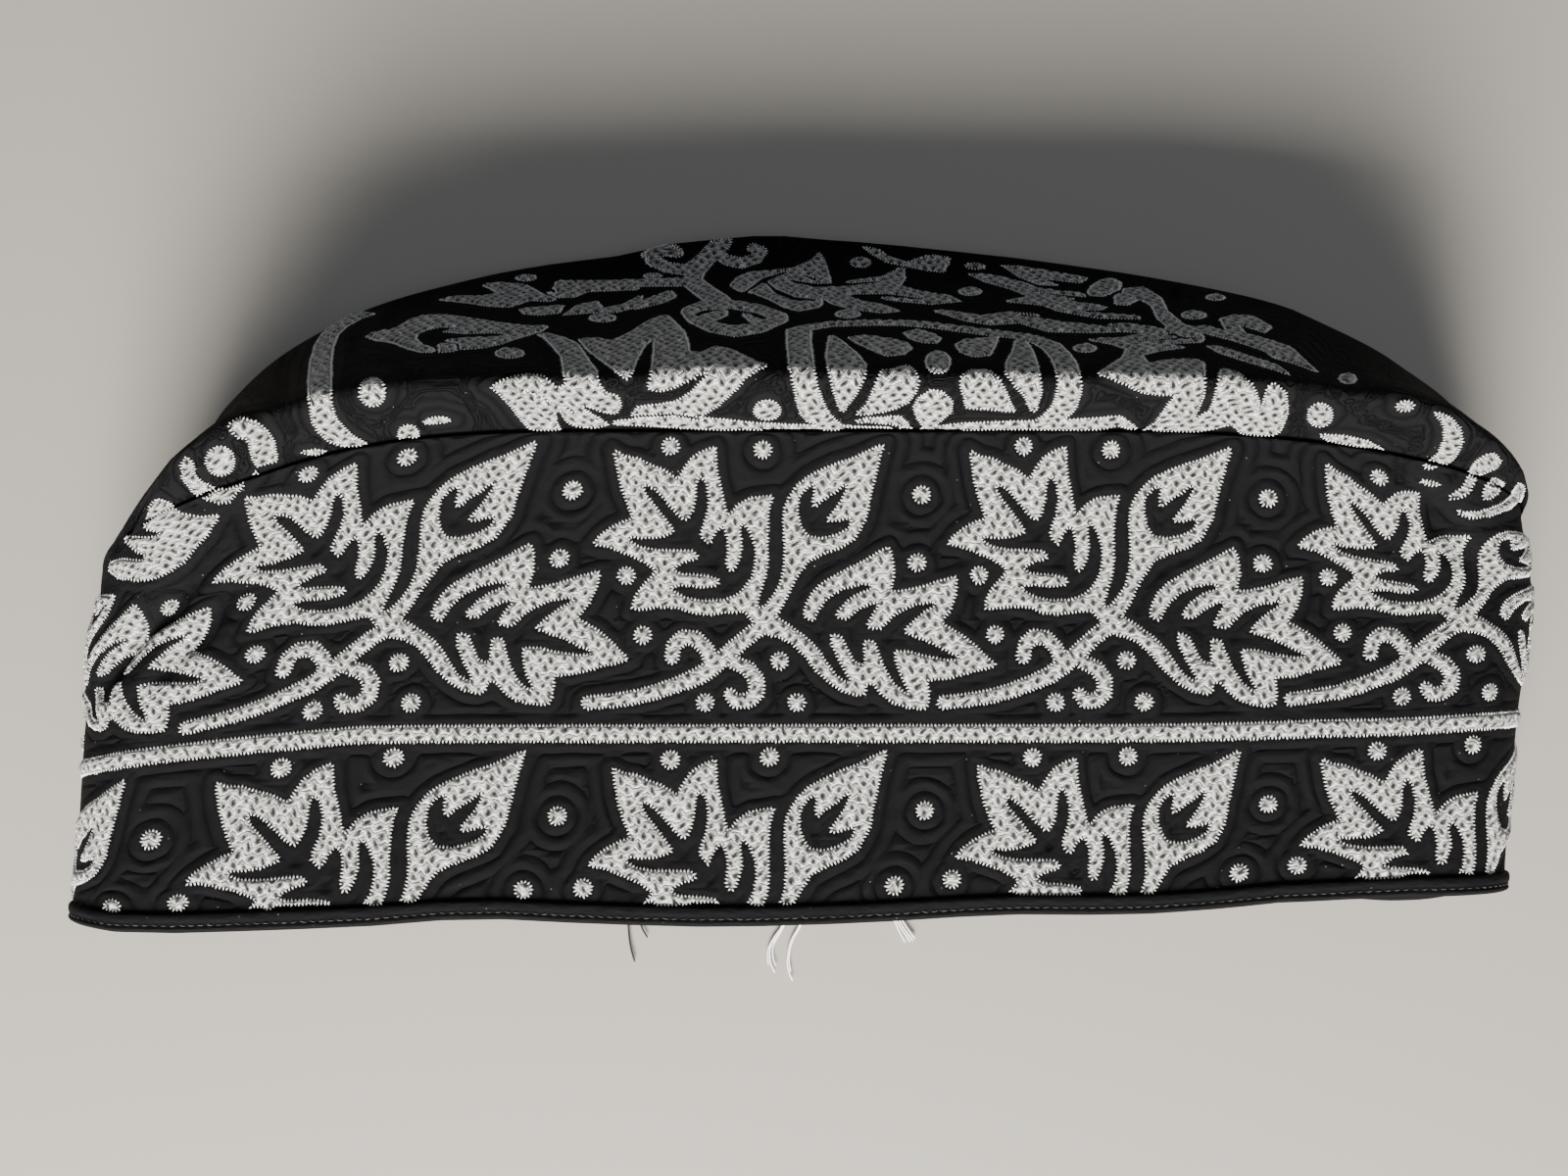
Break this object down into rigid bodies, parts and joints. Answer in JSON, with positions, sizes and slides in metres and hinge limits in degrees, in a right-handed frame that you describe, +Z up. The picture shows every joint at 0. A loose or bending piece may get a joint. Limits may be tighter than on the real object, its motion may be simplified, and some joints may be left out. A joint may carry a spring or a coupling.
{
  "type": "kumma cap",
  "caption": "Embroidered round cap lying flattened on its back wall: a tall side band, a puffed crown panel and a narrow bound hem.",
  "frame": {"origin": "Middle of the cap's outline seen from above, at the level of the table it lies on.", "axes": "+X runs along the flattened width to the right of the picture, +Y from the hem to the crown, +Z up from the table."},
  "size_m": [0.2747, 0.1395, 0.057],
  "materials": {
    "band_cloth": "matte cotton",
    "crown_cloth": "matte cotton",
    "hem_cloth": "matte cotton"
  },
  "bodies": {
    "root": {"side_band": "band_cloth", "crown_panel": "crown_cloth", "hem_binding": "hem_cloth"}
  },
  "joints": []
}
